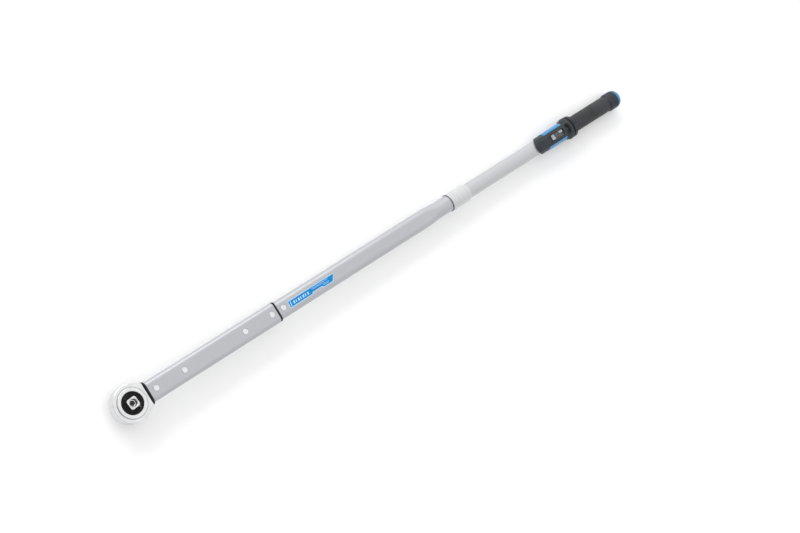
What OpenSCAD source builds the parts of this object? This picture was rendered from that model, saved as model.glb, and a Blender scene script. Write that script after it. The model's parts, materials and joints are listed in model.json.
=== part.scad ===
// Click-type torque wrench with a push-through 3/4 inch square drive.
// Frame: the origin is the centre of the drive square at the plane where a socket seats.
// +X runs along the tube towards the grip, +Z points up out of the button side of the head.

/* [Drive] */
// Width across the flats of the drive square
square_w = 19.05; // [19.05:0.01:19.05]
// Length of square that stands below the socket seat
square_reach = 24.5; // [22:0.5:26]
// Turn of the square about the drive axis
square_turn = 5; // [0:1:12]
// Radius of the wheel's round journals and of its visible face
wheel_r = 20.6; // [20:0.1:21]
// Number of ratchet teeth
wheel_teeth = 60; // [48:12:72]

/* [Head] */
// Radius of the round head
head_r = 34.8; // [34:0.2:36]
// Thickness of the head's plate
head_t = 27; // [26:0.5:28]
// Radius of the raised ring round the wheel
rim_r = 27.2; // [26:0.2:28]
// Height of the raised ring above the plate
rim_h = 3; // [2:0.5:4]
// Width of the neck where it meets the seal
neck_w = 42; // [41:0.5:44]

/* [Front tube] */
// Where the front tube begins
front_x0 = 37.4; // [37:0.1:38]
// Where the front tube ends
front_x1 = 320.4; // [318:0.2:322]
// Width of the front tube
front_w = 39.3; // [38:0.1:41]
// Height of the front tube
front_h = 28.4; // [28:0.1:30]
// Corner radius of the front tube
front_c = 8.5; // [8:0.5:9]
// Wall of both oval tubes
tube_wall = 3; // [2.5:0.1:3]

/* [Rear tube] */
// Where the rear tube begins
rear_x0 = 324.4; // [323:0.2:326]
// Where the oval stretch ends and the swage begins
swage_x0 = 684; // [680:1:690]
// Where the swage has become round
swage_x1 = 722; // [715:1:722]
// Width of the rear tube
rear_w = 35.7; // [35:0.1:37]
// Height of the rear tube
rear_h = 26; // [26:0.1:27]
// Corner radius of the rear tube
rear_c = 10.5; // [9:0.5:11]
// Radius of the round neck
neck_r = 16; // [15.4:0.1:16.2]

/* [Handle] */
// Where the dark ring in front of the collar begins
collar_x0 = 746.7; // [745:0.1:748]
// Where the collar ends
collar_x1 = 795; // [790:1:800]
// Radius of the collar
collar_r = 17.3; // [17.2:0.1:17.6]
// Radius of the thin handle tube
handle_r = 14.7; // [14.4:0.05:14.8]
// Where the casing's slanted front crosses the tube's axis
casing_x0 = 988; // [987:0.5:990]
// Lean of the casing's front, its upper edge reaching forward, in degrees
casing_lean = 43; // [40:1:45]
// Radius of the handle casing
casing_r = 17.3; // [17:0.05:17.4]
// Largest radius of the casing's flange
flange_r = 22.3; // [21.5:0.1:22.5]
// Radius of the grip
grip_r = 16.2; // [16:0.1:16.3]
// Radius of the end knob
knob_r = 18; // [17:0.1:18.2]
// Rear tip of the end cap
tip_x = 1211.3; // [1211.2:0.1:1212]

/* [Motion] */
// Tilt of the head when the wrench clicks, in degrees
click_deg = 1.5; // [1:0.1:1.5]
// Travel of the scale each way from mid scale
scale_travel = 10; // [8:1:10]
// Travel of the lock ring
lock_travel = 4; // [3:0.5:4]

/* [Hidden] */
$fn = 72;
// Gap of running shafts and sliding flats, and gap of parts that are pressed together
run_gap = 0.05;
seat_gap = 0.02;

// Height of the tube's axis above the socket seat
axis_z = 16.5;
head_half = head_t / 2;
// Tangent point of the neck's flats on the head circle
neck_x = 33.5;
neck_dist = sqrt(neck_x * neck_x + neck_w * neck_w / 4);
tangent_a = atan2(neck_w / 2, neck_x) + acos(head_r / neck_dist);
tangent = [head_r * cos(tangent_a), head_r * sin(tangent_a)];

// Wheel: teeth between two journals
gear_tip = 22.6;
gear_root = 21.3;
gear_half = 8.9;
gear_room = 23.2;
wheel_top = 15.6;
ball_groove_w = 5;
ball_groove_d = 1.4;

// Cover under the head
cover_r = 31;
cover_top = -9.2;
cover_boss_r = 24;
cover_screw_r = 27.6;
cover_screw_n = 6;

// Drive square and its release, measured from the tube's axis
square_top = 20;
square_bottom = -axis_z - square_reach;
square_round_r = 12.7;
button_r = 6.3;
button_top = 14;
button_h = 4;
stem_r = 3.55;
stem_bore = 4.4;
ball_r = 3;
ball_stand = 1;
ball_z = -axis_z - 12;

// Pawl
pawl_half_w = 8;
pawl_half_h = 8.5;
pawl_back = 27;
pawl_slot_x = 30;
pawl_spring_y = 4.4;
pawl_spring_x = 36;

// Cross pins through the tubes
pin_r = 5.35;
pin_proud = 0.35;
pivot_x = 51.6;
stop_x = 113.3;
rivet_front = [248.4, 309.3];
rivet_rear = 336.2;
rivet_foot = 8.7;
rivet_pocket_foot = 9.2;

// Lever, link and thrust rod inside the front tube
lever_half_h = 8.8;
lever_half_w = 14.6;
lever_end = 226;
link_len = 26;
link_r = 5;
seat_r = 5.3;
rod_seat = lever_end + link_len;
rod_r = 7.95;
rod_bore = 8;
sleeve_x0 = 240;
sleeve_x1 = 352;
pocket_x1 = 267;
rod_head_half = 9;

// Main spring and its seats
spring_x0 = 362;
spring_x1 = 650;
spring_wire = 2;
spring_r = 7.4;
spring_turns = 24;
seat_disc_r = 9.6;
push_r = 6;

// Adjuster, all at mid scale
inner_r = 11.65;
tube_end = 1106;
nut_x0 = 950;
nut_x1 = 1012;
nut_r = 9.4;
spindle_r = 7;
spindle_x0 = 977;
pad_x0 = 1003;
pad_x1 = 1058;
pad_w = 11.8;
pad_top = 14.6;
thrust_x = 1080;
washer_t = 2;
thrust_ball_r = 2;
thrust_ball_n = 10;
plug_x0 = 1093;

// Casing, window, flange and lock ring
window_x0 = 1014.5;
window_x1 = 1047;
window_w = 12.4;
frame_x0 = 1012;
frame_x1 = 1052;
frame_w = 16.4;
frame_top = 18.3;
flange_x0 = 1054;
flange_x1 = 1064;
flange_x2 = 1069.5;
spigot_r = 16.4;
spigot_x = 1081;
accent_x0 = 1004;
accent_x1 = 1053;
accent_r = 17.9;
accent_deg = 44;
casing_start = 970;
casing_screw_x = 1062;
casing_screw_y = 18.2;
lock_x0 = 1072;
lock_x1 = 1081;
lock_r = 21.8;
grip_x0 = 1082;
grip_x1 = 1175.5;
band_x0 = 1131.4;
band_x1 = 1133;
spindle_x1 = 1186;
knob_x1 = 1200;
knob_spigot = 12;
grip_bore = 9;
knob_screw_r = 2.5;
knob_screw_len = 12;
dome_r = 10.9;
dome_x = knob_x1 + 0.5;

// Ring in front of the collar
collar_ring_len = 1.8;

// Label on the rear tube
label_x0 = 347.7;
label_x1 = 456.3;
label_w = 13.4;
label_y = -1.2;

// ---------- helpers ----------

// Lift onto the tube's axis
module on_axis() translate([0, 0, axis_z]) children();

// A round bar along X
module rod_x(x0, x1, r) translate([x0, 0, 0]) rotate([0, 90, 0]) cylinder(r = r, h = x1 - x0);

// A round hole or pin along Z
module rod_z(z0, z1, r) translate([0, 0, z0]) cylinder(r = r, h = z1 - z0);

// A section in Y and Z drawn along X
module bar_x(x0, x1) translate([x0, 0, 0]) rotate([90, 0, 90]) linear_extrude(height = x1 - x0) children();

// A plate in X and Y between two heights
module plate_z(z0, z1) translate([0, 0, z0]) linear_extrude(height = z1 - z0) children();

// A block given by its limits
module block(x, y, z) translate([x[0], y[0], z[0]]) cube([x[1] - x[0], y[1] - y[0], z[1] - z[0]]);

// Turned about X from points [radius, x]
module turn_x(points) rotate([0, 90, 0]) rotate_extrude() polygon(points);

// Rectangle with round corners, from exact arcs
module round_rect(w, h, c) {
    square([w - 2 * c, h], center = true);
    square([w, h - 2 * c], center = true);
    for (sx = [-1, 1], sy = [-1, 1])
        translate([sx * (w / 2 - c), sy * (h / 2 - c)]) circle(r = c);
}

// Points of an arc about [cx, cy]
function arc(cx, cy, r, a0, a1, n) = [for (i = [0 : n]) let (a = a0 + (a1 - a0) * i / n)
    [cx + r * cos(a), cy + r * sin(a)]];

// Ring of a coil: six points round the wire at angle a
function wire_ring(a, z, coil_r, wire_r) = [for (k = [0 : 5]) let (b = k * 60)
    [(coil_r + wire_r * cos(b)) * cos(a), (coil_r + wire_r * cos(b)) * sin(a), z + wire_r * sin(b)]];

// A coil spring along Z, with flat-sided wire
module coil(length, coil_r, wire_r, turns) {
    steps = 10;
    count = turns * steps;
    rise = length - 2 * wire_r;
    points = [for (i = [0 : count]) each
        wire_ring(i * 360 / steps, wire_r + rise * i / count, coil_r, wire_r)];
    sides = [for (i = [0 : count - 1], k = [0 : 5]) let (p = i * 6, n = (k + 1) % 6)
        each [[p + k, p + n, p + 6 + k], [p + n, p + 6 + n, p + 6 + k]]];
    start = [[5, 4, 3, 2, 1, 0]];
    finish = [[for (k = [0 : 5]) count * 6 + k]];
    polyhedron(points = points, faces = concat(start, sides, finish));
}

// ---------- head ----------

module neck_outline() polygon([
    [0, 0], tangent, [neck_x, neck_w / 2], [neck_x, -neck_w / 2], [tangent[0], -tangent[1]]
]);

module head_blank() {
    edge = 2;
    rotate_extrude() polygon([
        [0, -head_half], [head_r - edge, -head_half], [head_r, edge - head_half],
        [head_r, head_half - edge], [head_r - edge, head_half], [0, head_half]
    ]);
    plate_z(-head_half, head_half) neck_outline();
    rotate_extrude() polygon([
        [0, head_half - 1], [rim_r, head_half - 1], [rim_r, head_half + rim_h - 0.8],
        [rim_r - 0.8, head_half + rim_h], [0, head_half + rim_h]
    ]);
}

module lever() {
    plate_z(-lever_half_h, lever_half_h) polygon([
        [28, -lever_half_w], [70, -lever_half_w], [110, -12], [lever_end, -10],
        [lever_end, 10], [110, 12], [70, lever_half_w], [28, lever_half_w]
    ]);
}

module ratchet_head() color("gainsboro") on_axis() difference() {
    union() {
        difference() {
            head_blank();
            block([neck_x, head_r + 1], [-neck_w, neck_w], [-20, 20]);
        }
        lever();
    }
    rod_z(-head_half - 1, gear_half + 0.3, gear_room);
    rod_z(0, head_half + rim_h + 1, wheel_r + run_gap);
    rod_z(-head_half - 1, cover_top, cover_r + run_gap);
    block([18, pawl_slot_x], [-pawl_half_w - 0.1, pawl_half_w + 0.1], [-head_half, pawl_half_h + 0.2]);
    for (y = [-1, 1])
        translate([0, y * pawl_spring_y, 0]) rod_x(pawl_slot_x - 1, pawl_spring_x, 2.2);
    for (i = [0 : cover_screw_n - 1])
        rotate(30 + i * 60) translate([cover_screw_r, 0, 0]) rod_z(-head_half, -2, 1.5 + seat_gap);
    translate([pivot_x, 0, 0]) rod_z(-20, 20, pin_r + run_gap);
    translate([stop_x, 0, 0]) rod_z(-20, 20, pin_r + 1.9);
    translate([lever_end, 0, 0]) rod_z(-20, 20, seat_r);
}

module head_seal() color("black") on_axis() bar_x(neck_x + 0.05, front_x0 - 0.8) difference() {
    round_rect(neck_w + 2.4, 30.4, 8);
    square([2 * lever_half_w + 0.1, 2 * lever_half_h + 0.1], center = true);
}

module head_cover() color("silver") on_axis() difference() {
    union() {
        rod_z(-head_half, cover_top, cover_r);
        rod_z(-head_half - 2, -head_half, cover_boss_r);
    }
    rod_z(-20, 0, wheel_r + run_gap);
    for (i = [0 : cover_screw_n - 1])
        rotate(30 + i * 60) translate([cover_screw_r, 0, 0]) {
            rod_z(-20, 0, 1.5 + seat_gap);
            rod_z(-20, -head_half + 2.4, 2.8 + seat_gap);
        }
}

module cover_screws() color("dimgray") on_axis()
    for (i = [0 : cover_screw_n - 1])
        rotate(30 + i * 60) translate([cover_screw_r, 0, 0]) difference() {
            union() {
                rod_z(-head_half + 0.2, -head_half + 2.4, 2.8);
                rod_z(-head_half + 2.3, -2.5, 1.5);
            }
            rod_z(-head_half, -head_half + 1.6, 1.3, $fn = 6);
        }

// Ratchet teeth, grown by a gap where the pawl must clear them
function tooth_points(gap) = [for (i = [0 : wheel_teeth - 1]) let (a = (i + 0.5) * 360 / wheel_teeth)
    each [
        [(gear_root + gap) * cos(a), (gear_root + gap) * sin(a)],
        [(gear_tip + gap) * cos(a + 240 / wheel_teeth), (gear_tip + gap) * sin(a + 240 / wheel_teeth)]
    ]];

module pawl() color("dimgray") on_axis() difference() {
    block([20, pawl_back], [-pawl_half_w, pawl_half_w], [-pawl_half_h, pawl_half_h]);
    plate_z(-10, 10) polygon(tooth_points(0.15));
}

module pawl_springs() color("silver") on_axis()
    for (y = [-1, 1])
        translate([pawl_back, y * pawl_spring_y, 0]) rotate([0, 90, 0])
            coil(pawl_spring_x - pawl_back - 0.05, 1.6, 0.4, 4);

module square_turned() rotate(square_turn) children();

module ratchet_wheel() color([0.12, 0.12, 0.13]) on_axis() difference() {
    union() {
        rotate_extrude() polygon([
            [0, -axis_z], [wheel_r - 0.6, -axis_z], [wheel_r, 0.6 - axis_z],
            [wheel_r, wheel_top - 0.6], [wheel_r - 0.6, wheel_top], [0, wheel_top]
        ]);
        plate_z(-gear_half, gear_half) polygon(tooth_points(0));
    }
    square_turned() {
        hole = square_w / 2 + run_gap;
        intersection() {
            block([-hole, hole], [-hole, hole], [-30, 30]);
            rod_z(-30, 30, square_round_r + run_gap);
        }
        block([-ball_groove_w / 2, ball_groove_w / 2], [-hole - ball_groove_d, 0], [-30, 30]);
    }
}

module drive_square() color("silver") on_axis() square_turned() difference() {
    half = square_w / 2;
    intersection() {
        block([-half, half], [-half, half], [square_bottom, square_top]);
        rotate_extrude() polygon([
            [0, square_bottom], [square_round_r - 2.5, square_bottom],
            [square_round_r, square_bottom + 2.5], [square_round_r, square_top - 1],
            [square_round_r - 1, square_top], [0, square_top]
        ]);
    }
    rod_z(12, square_top + 1, 7.4);
    rod_z(2, 13, button_r + 0.1);
    rod_z(-34, 3, stem_bore);
    translate([0, 0, ball_z]) rotate([90, 0, 0]) cylinder(r = ball_r + run_gap, h = square_w);
}

module release_button() color([0.75, 0.76, 0.78]) on_axis() difference() {
    union() {
        rod_z(button_top - button_h, button_top, button_r);
        rod_z(ball_z - 1.5, button_top - button_h + 1, stem_r);
        rod_z(ball_z - 0.8, ball_z, stem_bore - 0.1);
    }
    rod_z(button_top - 3, button_top + 1, 5);
}

module button_spring() color("silver") on_axis() translate([0, 0, 2])
    coil(button_top - button_h - 2, 4.95, 0.6, 4);

module detent_ball() color("lightgray") on_axis() square_turned()
    translate([0, -(square_w / 2 + ball_stand - ball_r), ball_z]) sphere(r = ball_r);

// ---------- tubes ----------

module front_tube() color([0.70, 0.71, 0.74]) on_axis() difference() {
    bar_x(front_x0, front_x1) difference() {
        round_rect(front_w, front_h, front_c);
        round_rect(front_w - 2 * tube_wall, front_h - 2 * tube_wall, front_c - tube_wall);
    }
    for (x = concat([pivot_x, stop_x], rivet_front))
        translate([x, 0, 0]) rod_z(-20, 20, pin_r + seat_gap);
}

module cross_pin(x) on_axis() translate([x, 0, 0])
    rod_z(-front_h / 2 - pin_proud, front_h / 2 + pin_proud, pin_r);

module pivot_pin() color("white") cross_pin(pivot_x);

module stop_pin() color("white") cross_pin(stop_x);

module toggle_link() color("dimgray") on_axis() {
    for (x = [lever_end, rod_seat])
        translate([x, 0, 0]) rod_z(-8, 8, link_r);
    block([lever_end, rod_seat], [-3, 3], [-8, 8]);
}

module thrust_rod() color("gray") on_axis() difference() {
    union() {
        block([rod_seat, rod_seat + 12], [-rod_head_half, rod_head_half], [-rod_head_half, rod_head_half]);
        rod_x(rod_seat + 6, spring_x0 - 6, rod_r);
        rod_x(spring_x0 - 6, spring_x0, seat_disc_r);
    }
    translate([rod_seat, 0, 0]) rod_z(-20, 20, seat_r);
}

module connector_sleeve() color("gray") on_axis() difference() {
    inset = 2 * tube_wall + 2 * run_gap;
    union() {
        bar_x(sleeve_x0, front_x1)
            round_rect(front_w - inset, front_h - inset, front_c - tube_wall);
        bar_x(front_x1 - 0.1, sleeve_x1)
            round_rect(rear_w - inset, rear_h - inset, rear_c - tube_wall);
    }
    rod_x(sleeve_x0 - 1, sleeve_x1 + 1, rod_bore);
    pocket = rod_head_half + 2 * run_gap;
    block([sleeve_x0 - 1, pocket_x1], [-pocket, pocket], [-pocket, pocket]);
    for (x = concat(rivet_front, rivet_rear), s = [0, 180])
        rotate([s, 0, 0]) translate([x, 0, 0]) rod_z(rivet_foot, 20, pin_r + seat_gap);
}

// Short studs, in pairs above and below, that leave the middle free for the thrust rod
module connector_rivets() color("white") on_axis()
    for (p = [[rivet_front[0], front_h], [rivet_front[1], front_h], [rivet_rear, rear_h]], s = [0, 180])
        rotate([s, 0, 0]) translate([p[0], 0, 0])
            rod_z(p[0] == rivet_front[0] ? rivet_pocket_foot : rivet_foot, p[1] / 2 + pin_proud, pin_r);

module joint_ring() color("black") on_axis() bar_x(front_x1, rear_x0) difference() {
    round_rect(front_w - 0.3, front_h - 0.3, front_c);
    round_rect(rear_w - 2 * tube_wall, rear_h - 2 * tube_wall, rear_c - tube_wall);
}

module swage(x0, x1, w, h, c, r) hull() {
    bar_x(x0, x0 + 0.01) round_rect(w, h, c, $fn = 32);
    rod_x(x1 - 0.01, x1, r, $fn = 48);
}

module rear_tube() color([0.70, 0.71, 0.74]) on_axis() difference() {
    inner_w = rear_w - 2 * tube_wall;
    inner_h = rear_h - 2 * tube_wall;
    union() {
        bar_x(rear_x0, swage_x0) round_rect(rear_w, rear_h, rear_c);
        swage(swage_x0, swage_x1, rear_w, rear_h, rear_c, neck_r);
        rod_x(swage_x1, (collar_x0 + collar_x1) / 2, neck_r);
    }
    bar_x(rear_x0 - 1, swage_x0) round_rect(inner_w, inner_h, rear_c - tube_wall);
    swage(swage_x0, swage_x1, inner_w, inner_h, rear_c - tube_wall, inner_r);
    rod_x(swage_x1, collar_x1 + 1, inner_r);
    translate([rivet_rear, 0, 0]) rod_z(-20, 20, pin_r + seat_gap);
}

// Flat plate with one notch in its lower edge and a slanted rear end
module label_plate() color([0.08, 0.42, 0.78]) on_axis() translate([0, label_y, 0])
    plate_z(rear_h / 2, rear_h / 2 + 0.35) polygon([
        [label_x0, label_w / 2], [label_x1, label_w / 2], [label_x1 - 7.6, -label_w / 2],
        [label_x0 + 77, -label_w / 2], [label_x0 + 77, 2.8 - label_w / 2],
        [label_x0 + 53, 2.8 - label_w / 2], [label_x0 + 53, -label_w / 2], [label_x0, -label_w / 2]
    ]);

// ---------- spring and thrust line ----------

module main_spring() color("dimgray") on_axis() translate([spring_x0, 0, 0]) rotate([0, 90, 0])
    coil(spring_x1 - spring_x0, spring_r, spring_wire, spring_turns);

module spring_seat() color("gray") on_axis() {
    rod_x(spring_x1, spring_x1 + 6, seat_disc_r);
    rod_x(spring_x1 + 6, spring_x1 + 14, 8);
}

module push_rod() color("silver") on_axis() rod_x(spring_x1 + 14, nut_x0, push_r);

module rod_guide() color("goldenrod") on_axis() difference() {
    rod_x(723, 734, inner_r - seat_gap);
    rod_x(722, 735, push_r + run_gap);
}

module neck_sleeve() color("gray") on_axis() difference() {
    rod_x(735, 815, inner_r - run_gap);
    rod_x(734, 816, push_r + 1);
}

module collar_ring() color([0.45, 0.46, 0.48]) on_axis() difference() {
    rod_x(collar_x0, collar_x0 + collar_ring_len, collar_r);
    rod_x(collar_x0 - 1, collar_x0 + collar_ring_len + 1, neck_r + seat_gap);
}

module collar() color("whitesmoke") on_axis() difference() {
    joint = (collar_x0 + collar_x1) / 2;
    turn_x([
        [0, collar_x0 + collar_ring_len], [collar_r, collar_x0 + collar_ring_len], [collar_r, collar_x1 - 5],
        [handle_r + 0.6, collar_x1], [0, collar_x1]
    ]);
    rod_x(collar_x0, joint, neck_r + seat_gap);
    rod_x(joint - 1, collar_x1 + 1, handle_r + seat_gap);
    for (x = [762, 784])
        translate([x, 0, 0]) rod_z(-20, 0, 2 + seat_gap);
}

module collar_screws() color("dimgray") on_axis()
    for (p = [[762, neck_r], [784, handle_r]])
        translate([p[0], 0, 0]) difference() {
            rod_z(-collar_r + 0.1, -p[1] - 0.05, 2);
            rod_z(-collar_r, -collar_r + 0.8, 1, $fn = 6);
        }

module handle_tube() color([0.78, 0.79, 0.81]) on_axis() difference() {
    rod_x((collar_x0 + collar_x1) / 2, tube_end, handle_r);
    rod_x(collar_x0, tube_end + 1, inner_r);
    block([pad_x0 - scale_travel - 2, spigot_x], [-pad_w / 2 - 0.2, pad_w / 2 + 0.2], [0, 20]);
    translate([plug_x0 + 6, 0, 0]) rod_z(-20, 20, 2 + seat_gap);
}

// ---------- handle casing ----------

module casing_blank() difference() {
    turn_x(concat(
        [[0, casing_start], [casing_r, casing_start], [casing_r, flange_x0]],
        arc(flange_r - 3, flange_x1, 3, -60, 0, 4),
        [[flange_r, flange_x2 - 1], [flange_r - 1, flange_x2], [spigot_r, flange_x2],
         [spigot_r, spigot_x], [0, spigot_x]]
    ));
    rod_x(casing_start - 1, spigot_x + 1, handle_r + seat_gap);
    translate([casing_x0, 0, 0]) rotate([0, -casing_lean, 0]) block([-60, 0], [-30, 30], [-60, 60]);
}

// A band round one side, from below the middle to above it
module side_band(x0, x1, r0, r1, deg) intersection() {
    difference() {
        rod_x(x0, x1, r1);
        rod_x(x0 - 1, x1 + 1, r0);
    }
    bar_x(x0 - 1, x1 + 1) polygon([[0, 0], [40, -40 * tan(deg)], [40, 40 * tan(deg)]]);
}

module accent_pockets() for (s = [0, 180])
    rotate([s, 0, 0]) side_band(accent_x0 - 0.05, accent_x1 + 0.05, 15.8, 30, accent_deg + 0.2);

module casing_body() difference() {
    union() {
        casing_blank();
        difference() {
            plate_z(8, frame_top) {
                translate([frame_x0, -frame_w / 2])
                    square([frame_x1 - frame_x0 - frame_w / 2, frame_w]);
                translate([frame_x1 - frame_w / 2, 0]) circle(r = frame_w / 2);
            }
            rod_x(casing_start, spigot_x, handle_r + seat_gap);
        }
    }
    accent_pockets();
    block([window_x0, window_x1], [-window_w / 2, window_w / 2], [0, 30]);
    block([window_x0 - 1.5, window_x1 + 1.5], [-window_w / 2 - 0.8, window_w / 2 + 0.8], [15.3, 16.9]);
    block([pad_x0 - scale_travel - 2, flange_x2], [-pad_w / 2 - 0.2, pad_w / 2 + 0.2], [0, 15]);
    block([flange_x0 + 1, flange_x0 + 8], [-10.7, 10.7], [17.6, 30]);
}

// Places of the two screws that hold the halves of the casing together
module at_casing_screws() for (y = [-1, 1])
    translate([casing_screw_x, y * casing_screw_y, 0]) children();

module casing_screw_holes() at_casing_screws() {
    rod_z(-14, 6, 1.25 + seat_gap);
    rod_z(-30, -7.5, 2.3 + seat_gap);
}

module casing_upper() color([0.25, 0.27, 0.29]) on_axis() difference() {
    intersection() {
        casing_body();
        block([casing_start, spigot_x + 1], [-30, 30], [0, 30]);
    }
    casing_screw_holes();
}

module casing_lower() color([0.25, 0.27, 0.29]) on_axis() difference() {
    intersection() {
        casing_body();
        block([casing_start, spigot_x + 1], [-30, 30], [-30, 0]);
    }
    casing_screw_holes();
}

module casing_screws() color("dimgray") on_axis() at_casing_screws() difference() {
    union() {
        rod_z(-9, 5.5, 1.25);
        rod_z(-10, -7.5, 2.3);
    }
    rod_z(-11, -9, 1, $fn = 6);
}

module window_lens() color([0.85, 0.9, 0.95, 0.4]) on_axis()
    block([window_x0 - 1.4, window_x1 + 1.4], [-window_w / 2 - 0.7, window_w / 2 + 0.7], [15.35, 16.85]);

module index_pointer() color([0.1, 0.1, 0.1]) on_axis() plate_z(17.6, 18.4)
    polygon([[flange_x0 + 1.3, -3], [flange_x0 + 6.5, 0], [flange_x0 + 1.3, 3]]);

module accent_left() color([0.1, 0.45, 0.8]) on_axis()
    side_band(accent_x0, accent_x1, 15.85, accent_r, accent_deg);

module accent_right() color([0.1, 0.45, 0.8]) on_axis() rotate([180, 0, 0])
    side_band(accent_x0, accent_x1, 15.85, accent_r, accent_deg);

module lock_ring() color([0.25, 0.27, 0.29]) on_axis() turn_x([
    [spigot_r + 0.15, lock_x0], [lock_r - 1, lock_x0], [lock_r, lock_x0 + 1],
    [lock_r, lock_x1 - 3], [lock_r - 2.5, lock_x1], [spigot_r + 0.15, lock_x1]
]);

// ---------- adjuster ----------

module thrust_nut() color("goldenrod") on_axis() difference() {
    rod_x(nut_x0, nut_x1, nut_r);
    rod_x(nut_x0 + 10, nut_x1 + 1, spindle_r + run_gap);
}

module scale_carrier() color("white") on_axis() difference() {
    union() {
        rod_x(pad_x0, pad_x1, inner_r - 0.15);
        block([pad_x0, pad_x1], [-pad_w / 2, pad_w / 2], [0, pad_top]);
    }
    rod_x(pad_x0 - 1, pad_x1 + 1, nut_r + seat_gap);
}

module scale_marks() color("black") on_axis()
    for (i = [0 : 12])
        translate([pad_x0 + 3 + i * 4, -pad_w / 2 + 0.6, pad_top])
            cube([0.5, i % 2 == 0 ? 4.5 : 2.6, 0.15]);

module spindle() color("silver") on_axis() difference() {
    union() {
        rod_x(spindle_x0, spindle_x1, spindle_r);
        rod_x(thrust_x, thrust_x + 5, inner_r - 0.4);
    }
    rod_x(spindle_x1 - knob_screw_len - 2, spindle_x1 + 1, knob_screw_r + seat_gap);
}

module thrust_washers() color("silver") on_axis()
    for (x = [thrust_x + 5, plug_x0 - washer_t])
        difference() {
            rod_x(x, x + washer_t, inner_r - 0.3);
            rod_x(x - 1, x + washer_t + 1, spindle_r + 0.1);
        }

module thrust_balls() color("lightgray") on_axis()
    for (i = [0 : thrust_ball_n - 1])
        rotate([i * 360 / thrust_ball_n, 0, 0])
            translate([(thrust_x + 5 + plug_x0) / 2, 9.25, 0]) sphere(r = thrust_ball_r);

module thrust_plug() color("gray") on_axis() difference() {
    rod_x(plug_x0, tube_end, inner_r - seat_gap);
    rod_x(plug_x0 - 1, tube_end + 1, spindle_r + run_gap);
    for (s = [0, 180])
        rotate([s, 0, 0]) translate([plug_x0 + 6, 0, 0]) rod_z(8, 20, 2 + seat_gap);
}

module plug_pin() color("gray") on_axis() for (s = [0, 180])
    rotate([s, 0, 0]) translate([plug_x0 + 6, 0, 0]) rod_z(8, handle_r - 0.2, 2);

// ---------- grip ----------

module grip_sleeve() color([0.2, 0.22, 0.24]) on_axis() difference() {
    turn_x([
        [0, grip_x0], [grip_r - 0.6, grip_x0], [grip_r, grip_x0 + 0.6],
        [grip_r, band_x0], [grip_r - 0.5, band_x0], [grip_r - 0.5, band_x1],
        [grip_r, band_x1], [grip_r, grip_x1], [0, grip_x1]
    ]);
    rod_x(grip_x0 - 1, tube_end + 2, handle_r + 0.07);
    rod_x(tube_end + 1, grip_x1 + 1, grip_bore);
}

module grip_band() color([0.15, 0.16, 0.17]) on_axis() difference() {
    rod_x(band_x0, band_x1, grip_r - 0.15);
    rod_x(band_x0 - 1, band_x1 + 1, grip_r - 0.5);
}

module end_knob() color([0.25, 0.27, 0.29]) on_axis() difference() {
    turn_x([
        [0, grip_x1 - knob_spigot], [grip_bore - seat_gap, grip_x1 - knob_spigot],
        [grip_bore - seat_gap, grip_x1], [knob_r - 1.2, grip_x1], [knob_r, grip_x1 + 1.2],
        [knob_r, knob_x1 - 1], [knob_r - 1, knob_x1], [0, knob_x1]
    ]);
    rod_x(grip_x1 - knob_spigot - 1, spindle_x1, spindle_r + seat_gap);
    rod_x(spindle_x1 - 1, knob_x1 + 1, 5 + seat_gap);
}

module knob_screw() color("silver") on_axis() difference() {
    union() {
        rod_x(spindle_x1, spindle_x1 + 6, 5);
        rod_x(spindle_x1 - knob_screw_len, spindle_x1 + 1, knob_screw_r);
    }
    translate([spindle_x1 + 4, 0, 0]) rotate([0, 90, 0]) cylinder(r = 2.5, h = 3, $fn = 6);
}

module end_cap() color([0.1, 0.45, 0.8]) on_axis() turn_x(concat(
    [[0, spindle_x1 + 6.5], [4.9, spindle_x1 + 6.5], [4.9, knob_x1], [knob_r - 1.2, knob_x1]],
    arc(knob_r - 1.2 - dome_r, dome_x, dome_r, 0, 78, 8),
    [[3, tip_x - 0.1], [0, tip_x]]
));

ratchet_head();
head_seal();
head_cover();
cover_screws();
pawl();
pawl_springs();
ratchet_wheel();
drive_square();
release_button();
button_spring();
detent_ball();
front_tube();
pivot_pin();
stop_pin();
toggle_link();
thrust_rod();
connector_sleeve();
connector_rivets();
joint_ring();
rear_tube();
label_plate();
main_spring();
spring_seat();
push_rod();
rod_guide();
neck_sleeve();
collar_ring();
collar();
collar_screws();
handle_tube();
casing_upper();
casing_lower();
casing_screws();
window_lens();
index_pointer();
accent_left();
accent_right();
lock_ring();
thrust_nut();
scale_carrier();
scale_marks();
spindle();
thrust_washers();
thrust_balls();
thrust_plug();
plug_pin();
grip_sleeve();
grip_band();
end_knob();
knob_screw();
end_cap();
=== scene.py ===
"""Looks of a click-type torque wrench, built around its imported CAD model.

Lengths are in millimetres on the tube's own axis: x along the tube, y across, z up from the axis.
Every piece is turned into metres in the row frame as it is made.
"""
import json
from math import acos, atan2, cos, hypot, pi, radians, sin, tan

import bmesh
import bpy
from mathutils import Matrix, Vector


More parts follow.
